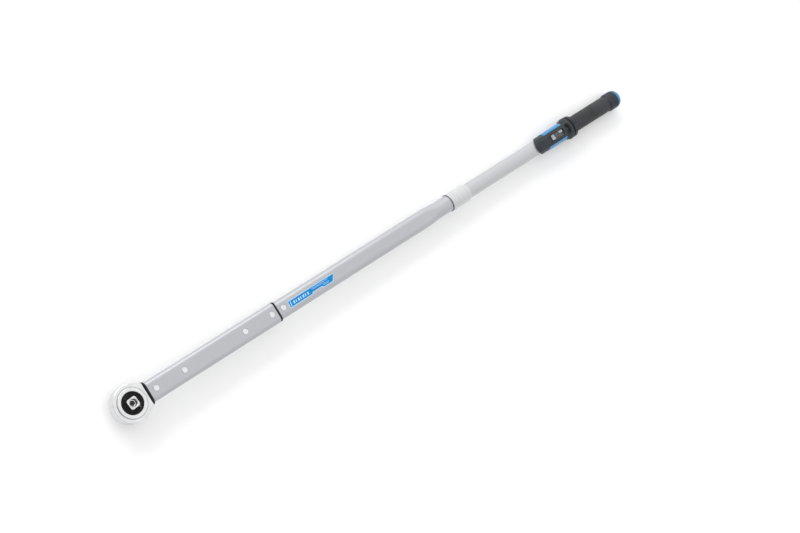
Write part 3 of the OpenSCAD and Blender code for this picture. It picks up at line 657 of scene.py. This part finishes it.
def joint_ring():
    low, high = span("joint_ring", X)
    width, height = 2 * span("joint_ring", Y)[1], 2 * span("joint_ring", Z)[1]
    edge = [(low, 0.5), (low + 0.5, 0), (high - 0.5, 0), (high, 0.5)]
    outer = [oval(x, width - 2 * d, height - 2 * d, FRONT_C - d) for x, d in edge]
    inner = [oval(x, REAR_W - 2 * WALL, REAR_H - 2 * WALL, REAR_C - WALL) for x in (high, low)]
    return stand_in(skin("ring_between_tubes", [outer + inner], loop=True), "joint_ring")


# ---------- label ----------

LABEL_X0, LABEL_X1 = span("label_plate", X)
LABEL_Y = sum(span("label_plate", Y)) / 2
LABEL_HALF = (span("label_plate", Y)[1] - span("label_plate", Y)[0]) / 2
LABEL_Z0, LABEL_Z1 = span("label_plate", Z)
LABEL_SLANT = 7.6
LABEL_BORDER = 1.1
NOTCH_START, NOTCH_END, NOTCH_DEPTH = 53, 77, 2.8


def label_outline(inset):
    """The label's outline: a notch in the lower edge and a slanted rear end."""
    left, right, half = LABEL_X0 + inset, LABEL_X1 - inset, LABEL_HALF - inset
    notch_x0, notch_x1 = LABEL_X0 + NOTCH_START - inset, LABEL_X0 + NOTCH_END + inset
    notch_y = NOTCH_DEPTH - half
    corners = [(left, half, 0.5), (right, half, 0.5), (right - LABEL_SLANT, -half, 0.5),
               (notch_x1, -half, 0.5), (notch_x1 - 1.5, notch_y, 0.4), (notch_x0 + 1.5, notch_y, 0.4),
               (notch_x0, -half, 0.5), (left, -half, 0.5)]
    return [(x, y + LABEL_Y) for x, y in rounded(corners, steps=4)]


def bars(name, shapes, low, high):
    """Flat slanted bars (x, y, length, height, slant) on the label, as one piece."""
    shells = []
    for x, y, length, height, slant in shapes:
        corners = [(x, y), (x + length, y), (x + length + slant, y + height), (x + slant, y + height)]
        shells.append([[(LABEL_X0 + a, LABEL_Y + b, z) for a, b in corners] for z in (low, high)])
    return skin(name, shells)


def label():
    """Pale border, blue field, and plain bars and lines where a real label has print."""
    border = prism("label_border", label_outline(0), LABEL_Z0, LABEL_Z1 - 0.12)
    stand_in(border, "label_plate", "label_edge")
    field = prism("label_field", label_outline(LABEL_BORDER), LABEL_Z1 - 0.13, LABEL_Z1 - 0.04)
    stand_in(field, "label_plate")
    top = (LABEL_Z1 - 0.05, LABEL_Z1)
    marks = [(3.4, -4.2, 1.6, 8.4, 1.2)]
    marks += [(10 + 5.4 * i, -2.8, 3.0 - 1.2 * (i % 2), 5.0, 1.0) for i in range(7)]
    stand_in(bars("label_marks", marks, *top), "label_plate", "label_edge")
    lines = [(55, 3.2 - 2 * i, 38 - 9 * i, 0.5, 0) for i in range(2)]
    lines += [(80, -1.2 - 1.9 * i, 14 - 2 * i, 0.5, 0) for i in range(2)]
    stand_in(bars("label_lines", lines, *top), "label_plate", "label_edge")


# ---------- collar and handle tube ----------

COLLAR_X0, COLLAR_X1 = span("collar", X)
COLLAR_R = span("collar", Y)[1]
COLLAR_CONE = 5
COLLAR_SCREWS_X = (762, 784)
HANDLE_R = span("handle_tube", Y)[1]
FIT = 0.02
SLOT_X0, SLOT_X1, SLOT_HALF = 991, 1081, 6.1


def collar():
    """Dark ring and painted sleeve over the joint between neck and handle tube."""
    low, high = span("collar_ring", X)
    outer = span("collar_ring", Y)[1]
    neck_bore, tube_bore = NECK_R + FIT, HANDLE_R + FIT
    ring = rounded([(neck_bore, low), (outer, low, 0.5), (outer, high, 0.5), (neck_bore, high)])
    stand_in(turned("ring_at_collar", ring), "collar_ring", "ring_metal")
    joint = (COLLAR_X0 + COLLAR_X1) / 2
    profile = rounded([(neck_bore, COLLAR_X0), (COLLAR_R, COLLAR_X0, 0.5),
                       (COLLAR_R, COLLAR_X1 - COLLAR_CONE, 1.5), (HANDLE_R + 0.7, COLLAR_X1, 0.3),
                       (tube_bore, COLLAR_X1), (tube_bore, joint), (neck_bore, joint)])
    sleeve = turned("collar_sleeve", profile)
    at = [Matrix.Translation((x, 0, 0)) for x in COLLAR_SCREWS_X]
    combine(sleeve, spun("screw_holes", [(2.05, -20), (2.05, -10)], axis=Z, segments=40, places=at))
    return stand_in(sleeve, "collar")


def handle_tube():
    """Thin tube with the slot that the scale looks through."""
    low, high = span("handle_tube", X)
    profile = [(INNER_R, low), (HANDLE_R, low), (HANDLE_R, high), (INNER_R, high)]
    tube = turned("tube_handle", profile)
    combine(tube, box("slot", (SLOT_X0, SLOT_X1), (-SLOT_HALF, SLOT_HALF), (0, 20)))
    return stand_in(tube, "handle_tube")


# ---------- handle casing ----------

CASING_X1 = span("casing_upper", X)[1]
CASING_R = 17.3
CASING_START, CASING_CROSS, CASING_LEAN = 970, 988, radians(43)
FLANGE_R = span("casing_upper", Y)[1]
FLANGE_X0, FLANGE_X1 = 1054, 1069.5
FLANGE_SCREW_X, FLANGE_SCREW_Y = 1062, 18.2
RECESS_HALF = 10.7
SPIGOT_R = 16.4
FRAME_X0, FRAME_X1, FRAME_HALF = 1012, 1052, 8.2
FRAME_TOP = 18.3
WINDOW_X0, WINDOW_X1, WINDOW_HALF = 1014.5, 1047, 6.2
ACCENT_X0, ACCENT_X1 = span("accent_left", X)
ACCENT_R = span("accent_left", Y)[1]
ACCENT_IN = 15.85
ACCENT_DEG = 44


def side_band(name, x, inner, outer, degrees_each_way):
    """A band round the +Y side, from below the middle to above it."""
    half = radians(degrees_each_way)
    turns = [half * (k / 12 - 1) for k in range(25)]
    outline = [(outer * cos(t), outer * sin(t)) for t in turns]
    outline += [(inner * cos(t), inner * sin(t)) for t in reversed(turns)]
    return prism(name, outline, x[0], x[1], X)


def mirrored(piece):
    """Moves a piece to the other side of the tube."""
    piece.data.transform(Matrix.Scale(-1, 4, (0, 1, 0)))
    piece.data.flip_normals()
    return piece


def casing_body():
    """The whole casing: round body, flange, spigot, window frame and pockets."""
    bore = HANDLE_R + FIT
    profile = rounded([(bore, CASING_START), (CASING_R, CASING_START), (CASING_R, FLANGE_X0, 3),
                       (FLANGE_R - 1.2, FLANGE_X0 + 7.6, 3), (FLANGE_R, FLANGE_X0 + 10.6, 2),
                       (FLANGE_R, FLANGE_X1, 1.2), (SPIGOT_R, FLANGE_X1, 0.3), (SPIGOT_R, CASING_X1, 0.4),
                       (bore, CASING_X1)])
    body = turned("casing", profile, segments=144)
    front = box("front_cut", (-60, 0), (-30, 30), (-60, 60))
    front.data.transform(Matrix.Translation((0, 0, -AXIS_Z)))
    front.data.transform(Matrix.Rotation(-CASING_LEAN, 4, "Y"))
    front.data.transform(Matrix.Translation((CASING_CROSS * MM, 0, AXIS_Z)))
    combine(body, front)
    soften(body, 1.1, 4, 50)
    end_r = FRAME_HALF - 0.01
    frame_outline = rounded([(FRAME_X0, -FRAME_HALF, 1.2), (FRAME_X1, -FRAME_HALF, end_r),
                             (FRAME_X1, FRAME_HALF, end_r), (FRAME_X0, FRAME_HALF, 1.2)], steps=14)
    window_frame = soften(prism("window_frame", frame_outline, 14.5, FRAME_TOP), 0.7, 3)
    combine(body, window_frame, "UNION")
    pocket_x = (ACCENT_X0 - 0.05, ACCENT_X1 + 0.05)
    pocket = side_band("pocket", pocket_x, ACCENT_IN - 0.05, 30, ACCENT_DEG + 0.2)
    other = bpy.data.objects.new("pocket_right", pocket.data.copy())
    bpy.context.scene.collection.objects.link(other)
    combine(body, pocket)
    combine(body, mirrored(other))
    opening = rounded([(WINDOW_X0, -WINDOW_HALF, 0.8), (WINDOW_X1, -WINDOW_HALF, 3),
                       (WINDOW_X1, WINDOW_HALF, 3), (WINDOW_X0, WINDOW_HALF, 0.8)])
    combine(body, prism("opening", opening, 0, 30))
    combine(body, box("lens_groove", (WINDOW_X0 - 1.5, WINDOW_X1 + 1.5), (-7, 7), (15.3, 16.9)))
    combine(body, box("scale_room", (SLOT_X0, FLANGE_X1), (-SLOT_HALF, SLOT_HALF), (0, 15)))
    recess = rounded([(FLANGE_X0 + 1, -RECESS_HALF, 0.8), (FLANGE_X0 + 8, -RECESS_HALF, 0.8),
                      (FLANGE_X0 + 8, RECESS_HALF, 0.8), (FLANGE_X0 + 1, RECESS_HALF, 0.8)], steps=3)
    combine(body, prism("recess", recess, 17.6, 30))
    return body


def casing():
    """The casing split at the tube's middle into its two halves."""
    body = casing_body()
    lower = bpy.data.objects.new("casing_half_lower", body.data.copy())
    bpy.context.scene.collection.objects.link(lower)
    reach_x, reach_y = (CASING_START, CASING_X1 + 1), (-30, 30)
    combine(body, box("below", reach_x, reach_y, (-30, 0)))
    combine(lower, box("above", reach_x, reach_y, (0, 30)))
    flange_screws = [Matrix.Translation((FLANGE_SCREW_X, side * FLANGE_SCREW_Y, 0)) for side in (-1, 1)]
    combine(lower, spun("screw_holes", [(2.32, -30), (2.32, -7.5), (1.27, -7.5), (1.27, 1)], axis=Z,
                        segments=40, places=flange_screws))
    body.name = "casing_half_upper"
    for half, node in ((body, "casing_upper"), (lower, "casing_lower")):
        soften(half, 0.22, 2, 42)
        stand_in(half, node)


def accents():
    for node, side in (("accent_left", 1), ("accent_right", -1)):
        strip = side_band(node + "_strip", (ACCENT_X0, ACCENT_X1), ACCENT_IN, ACCENT_R, ACCENT_DEG)
        if side < 0:
            mirrored(strip)
        soften(strip, 0.55, 3, 42)
        stand_in(strip, node)


def recess_shade_plate():
    """Dark plate at the bottom of the recess that the pointer lies in: painted shade that darkens the
    recess.
    """
    x0, x1, half = FLANGE_X0 + 1.1, FLANGE_X0 + 7.9, RECESS_HALF - 0.2
    corners = [(x0, -half, 0.8), (x1, -half, 0.8), (x1, half, 0.8), (x0, half, 0.8)]
    plate = soften(prism("recess_shade_plate", rounded(corners, steps=3), 17.55, 17.75), 0.06, 2)
    return stand_in(plate, "casing_upper", "black_rubber")


def pointer():
    low, high = span("index_pointer", Z)
    x0, x1 = span("index_pointer", X)
    outline = rounded([(x0, -3, 0.3), (x1, 0, 0.3), (x0, 3, 0.3)], steps=4)
    return stand_in(soften(prism("pointer", outline, low, high), 0.2, 2), "index_pointer")


def lens():
    x0, x1 = span("window_lens", X)
    y0, y1 = span("window_lens", Y)
    low, high = span("window_lens", Z)
    outline = rounded([(x0, y0, 0.8), (x1, y0, 0.8), (x1, y1, 0.8), (x0, y1, 0.8)], steps=4)
    return stand_in(soften(prism("lens", outline, low, high), 0.15, 2), "window_lens")


def scale():
    """Dark slide with white fields, each crossed by short division marks."""
    x0, x1 = span("scale_carrier", X)
    top = span("scale_carrier", Z)[1]
    half = span("scale_marks", Y)[0] * -1 + 0.6
    slide = box("slide", (x0, x1), (-half, half), (0, top))
    combine(slide, spun("slide_body", [(11.5, x0), (11.5, x1)]), "UNION")
    combine(slide, spun("nut_bore", [(9.42, x0 - 1), (9.42, x1 + 1)]))
    soften(slide, 0.3, 2, 50)
    stand_in(slide, "scale_carrier", "dark_trim")
    fields, marks = [], []
    for start, y in ((x0 + 13, -4.9), (x0 + 13, 0.3), (x0 + 34.5, 0.3)):
        fields.append((start, y, 8, 4.6))
        marks += [(start + 1.2 + 1.5 * i, y + 0.5, 0.35, 1.4 + 1.2 * (i % 2)) for i in range(4)]
    stand_in(tiles("scale_fields", fields, top - 0.01, top + 0.1), "scale_marks", "white_plastic")
    stand_in(tiles("scale_ticks", marks, top + 0.05, top + 0.14), "scale_marks", "dark_trim")


def tiles(name, shapes, low, high):
    """Flat rectangles (x, y, length, width) between two heights, as one piece."""
    shells = []
    for x, y, length, width in shapes:
        corners = [(x, y), (x + length, y), (x + length, y + width), (x, y + width)]
        shells.append([[(a, b, z) for a, b in corners] for z in (low, high)])
    return skin(name, shells)


def lock_ring():
    """Ring that slides on the casing's spigot."""
    low, high = span("lock_ring", X)
    outer = span("lock_ring", Y)[1]
    bore = SPIGOT_R + 0.15
    profile = rounded([(bore, low), (outer, low, 1.1), (outer, high - 3, 1.6), (outer - 2.5, high, 0.8),
                       (bore, high)])
    return stand_in(turned("ring_lock", profile, segments=144), "lock_ring")


# ---------- grip ----------

GRIP_X0, GRIP_X1 = span("grip_sleeve", X)
GRIP_R = span("grip_sleeve", Y)[1]
BAND_X0, BAND_X1 = span("grip_band", X)
KNOB_X1 = span("end_knob", X)[1]
KNOB_R = span("end_knob", Y)[1]
TIP_X = span("end_cap", X)[1]
DOME_R = 10.9
TUBE_END = span("handle_tube", X)[1]
PLUG_R, PLUG_LENGTH = 8.98, 12
SPINDLE_BORE, CAP_BORE = 7.02, 5.02


def grip():
    """Grip sleeve and the seam band sunk into it."""
    wide, narrow = HANDLE_R + 0.07, 9
    sleeve = rounded([(wide, GRIP_X0), (GRIP_R, GRIP_X0, 0.8), (GRIP_R, BAND_X0, 0.25),
                      (GRIP_R - 0.5, BAND_X0), (GRIP_R - 0.5, BAND_X1), (GRIP_R, BAND_X1, 0.25),
                      (GRIP_R, GRIP_X1), (narrow, GRIP_X1), (narrow, TUBE_END + 1), (wide, TUBE_END + 1)],
                     steps=5)
    stand_in(turned("grip_shell", sleeve, segments=144), "grip_sleeve")
    band = rounded([(GRIP_R - 0.5, BAND_X0), (GRIP_R - 0.15, BAND_X0, 0.1), (GRIP_R - 0.15, BAND_X1, 0.1),
                    (GRIP_R - 0.5, BAND_X1)], steps=3)
    stand_in(turned("band", band, segments=144), "grip_band")


def end_knob():
    """Wider end of the grip, plugged into its sleeve and bored for spindle and cap."""
    plug_x0, spindle_end = GRIP_X1 - PLUG_LENGTH, span("spindle", X)[1]
    profile = rounded([(SPINDLE_BORE, plug_x0), (PLUG_R, plug_x0, 0.3), (PLUG_R, GRIP_X1),
                       (GRIP_R - 0.4, GRIP_X1), (GRIP_R, GRIP_X1 + 0.6, 0.5), (KNOB_R, GRIP_X1 + 6, 5),
                       (KNOB_R, KNOB_X1, 0.6), (CAP_BORE, KNOB_X1), (CAP_BORE, spindle_end),
                       (SPINDLE_BORE, spindle_end)], steps=6)
    return stand_in(turned("knob", profile, segments=144), "end_knob")


def end_cap():
    """Domed cap with a stem that is pressed into the knob."""
    stem = span("end_cap", X)[0]
    rim_r = KNOB_R - 0.6
    turns = [radians(78) * k / 16 for k in range(17)]
    dome = [(rim_r - DOME_R + DOME_R * cos(t), KNOB_X1 + 0.5 + DOME_R * sin(t)) for t in turns]
    profile = [(4.9, stem), (4.9, KNOB_X1), (rim_r, KNOB_X1)] + dome + [(3, TIP_X - 0.1), (0.5, TIP_X)]
    return stand_in(spun("cap", profile, segments=144), "end_cap")


# ---------- springs ----------

def helix(name, place, length, coil_r, wire_r, turns):
    """A coil spring of round wire with closed ends, along its own z axis."""
    per_turn, round_wire = 28, 10
    rings = []
    for i in range(turns * per_turn + 1):
        angle = 2 * pi * i / per_turn
        z = wire_r + (length - 2 * wire_r) * i / (turns * per_turn)
        ring = []
        for k in range(round_wire):
            b = 2 * pi * k / round_wire
            r = coil_r + wire_r * cos(b)
            ring.append(place @ Vector((r * cos(angle), r * sin(angle), z + wire_r * sin(b))))
        rings.append(ring)
    return skin(name, [rings])


def springs():
    """Main spring, the pawl's two springs and the button's spring."""
    along = Matrix.Rotation(pi / 2, 4, "Y")
    start, end = span("main_spring", X)
    coil = helix("spring_main", Matrix.Translation((start, 0, 0)) @ along, end - start, 7.4, 2, 24)
    stand_in(coil, "main_spring")
    start, end = span("pawl_springs", X)
    for y in (-4.4, 4.4):
        place = Matrix.Translation((start, y, 0)) @ along
        coil = helix("spring_pawl_left" if y > 0 else "spring_pawl_right", place, end - start, 1.6, 0.4, 4)
        stand_in(coil, "pawl_springs")
    low, high = span("button_spring", Z)
    coil = helix("spring_button", Matrix.Translation((0, 0, low)), high - low, 4.95, 0.6, 4)
    stand_in(coil, "button_spring")


# ---------- pieces whose CAD shape is right ----------

def fasteners():
    for node in ("cover_screws", "collar_screws", "casing_screws"):
        stand_in(from_cad(node, 0.12), node)


def inner_parts():
    """CAD nodes that stay, in the finish of their slot."""
    for node, part in frame["nodes"].items():
        if not part.hide_render:
            part.data.materials.clear()
            part.data.materials.append(MATERIALS[SLOT_OF[node]])


# ---------- stage ----------

CAMERA_AZIMUTH, CAMERA_ELEVATION, CAMERA_ROLL = radians(173.015), radians(61.953), radians(65.184)
CAMERA_DISTANCE = 3.5652
CAMERA_TARGET = Vector((0.58866, -0.05177, 0.0165))
CAMERA_LENS = 86
FLOOR_SIZE = 20
LAMP_SIZE = (3.2, 1.6)
LAMP_WATTS = 54
LAMP_PLACE, LAMP_AIM = Vector((0.5, 2.6, 1.5)), Vector((0.6, 0, 0))
CARD_DEPTH = 0.75


def camera():
    """The photo's view: a long lens from above, turned about its own axis."""
    level = cos(CAMERA_ELEVATION)
    back = Vector((cos(CAMERA_AZIMUTH) * level, sin(CAMERA_AZIMUTH) * level, sin(CAMERA_ELEVATION)))
    flat = back.cross(Vector((0, 0, 1))).normalized() * -1
    upright = back.cross(flat)
    right = flat * cos(CAMERA_ROLL) + upright * sin(CAMERA_ROLL)
    up = back.cross(right)
    data = bpy.data.cameras.new("camera")
    data.lens = CAMERA_LENS
    data.clip_end = 100
    eye = bpy.data.objects.new("camera", data)
    place = Matrix((right, up, back)).transposed().to_4x4()
    place.translation = CAMERA_TARGET + back * CAMERA_DISTANCE
    eye.matrix_world = place
    bpy.context.scene.collection.objects.link(eye)
    bpy.context.scene.camera = eye


def floor():
    """Pale floor, leaning so that the wrench rests on its square and its flange as on a table."""
    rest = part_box("drive_square")[0].z
    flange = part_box("casing_lower")[0].z
    lean = atan2(flange - rest, FLANGE_X1 * MM)
    bm = bmesh.new()
    bmesh.ops.create_grid(bm, x_segments=8, y_segments=8, size=FLOOR_SIZE)
    mesh = bpy.data.meshes.new("floor")
    bm.to_mesh(mesh)
    bm.free()
    plane = bpy.data.objects.new("floor", mesh)
    plane.location = (0, 0, rest)
    plane.rotation_euler = (0, -lean, 0)
    bpy.context.scene.collection.objects.link(plane)
    paper = Finish("floor_paper", Roughness=0.9)
    paper.link(paper.mix(paper.noise(400), rgb(0.87, 0.87, 0.87), rgb(0.89, 0.89, 0.89)), "Base Color")
    mesh.materials.append(paper.material)


def smooth_step(tree, value, start, end, low, high):
    """The value mapped from start ... end to low ... high, with soft ends."""
    made = tree.nodes.new("ShaderNodeMapRange")
    made.interpolation_type = "SMOOTHSTEP"
    for key, number in (("From Min", start), ("From Max", end), ("To Min", low), ("To Max", high)):
        made.inputs[key].default_value = number
    tree.links.new(value, made.inputs["Value"])
    return made.outputs["Result"]


def product(tree, first, second):
    """A value times another value or a number."""
    made = tree.nodes.new("ShaderNodeMath")
    made.operation = "MULTIPLY"
    tree.links.new(first, made.inputs[0])
    if isinstance(second, bpy.types.NodeSocket):
        tree.links.new(second, made.inputs[1])
    else:
        made.inputs[1].default_value = second
    return made.outputs[0]


def studio():
    """A white room with a grey card ahead of the head, and one large soft lamp from the +Y side."""
    world = bpy.data.worlds.new("studio")
    world.use_nodes = True
    tree = world.node_tree
    background = tree.nodes["Background"]
    coords = tree.nodes.new("ShaderNodeTexCoord")
    split = tree.nodes.new("ShaderNodeSeparateXYZ")
    ramp = tree.nodes.new("ShaderNodeMapRange")
    ramp.inputs["From Min"].default_value = 0.0
    ramp.inputs["From Max"].default_value = 0.9
    ramp.inputs["To Min"].default_value = 1.0
    ramp.inputs["To Max"].default_value = 1.2
    tree.links.new(coords.outputs["Generated"], split.inputs[0])
    tree.links.new(split.outputs["Z"], ramp.inputs["Value"])
    ahead = smooth_step(tree, split.outputs["X"], -0.85, -0.5, 1, 0)
    above = smooth_step(tree, split.outputs["Z"], 0.12, 0.3, 0, 1)
    below = smooth_step(tree, split.outputs["Z"], 0.5, 0.68, 1, 0)
    card = product(tree, product(tree, ahead, above), product(tree, below, CARD_DEPTH))
    light = tree.nodes.new("ShaderNodeMath")
    light.operation = "SUBTRACT"
    tree.links.new(ramp.outputs["Result"], light.inputs[0])
    tree.links.new(card, light.inputs[1])
    tree.links.new(light.outputs[0], background.inputs["Strength"])
    background.inputs["Color"].default_value = rgb(1, 1, 1)
    bpy.context.scene.world = world
    lamp = bpy.data.lights.new("key", "AREA")
    lamp.shape = "RECTANGLE"
    lamp.size, lamp.size_y = LAMP_SIZE
    lamp.energy = LAMP_WATTS
    key = bpy.data.objects.new("key", lamp)
    key.location = LAMP_PLACE
    aim = LAMP_AIM - LAMP_PLACE
    key.rotation_mode = "QUATERNION"
    key.rotation_quaternion = aim.to_track_quat("-Z", "Y")
    bpy.context.scene.collection.objects.link(key)
    bpy.context.scene.view_settings.view_transform = "Standard"


ratchet_head()
head_seal()
ratchet_wheel()
drive_square()
release_button()
detent_ball()
head_cover()
front_tube()
rear_tube()
cross_pins()
rivets()
joint_ring()
label()
collar()
handle_tube()
casing()
accents()
recess_shade_plate()
pointer()
lens()
scale()
lock_ring()
grip()
end_knob()
end_cap()
springs()
fasteners()
inner_parts()
camera()
floor()
studio()
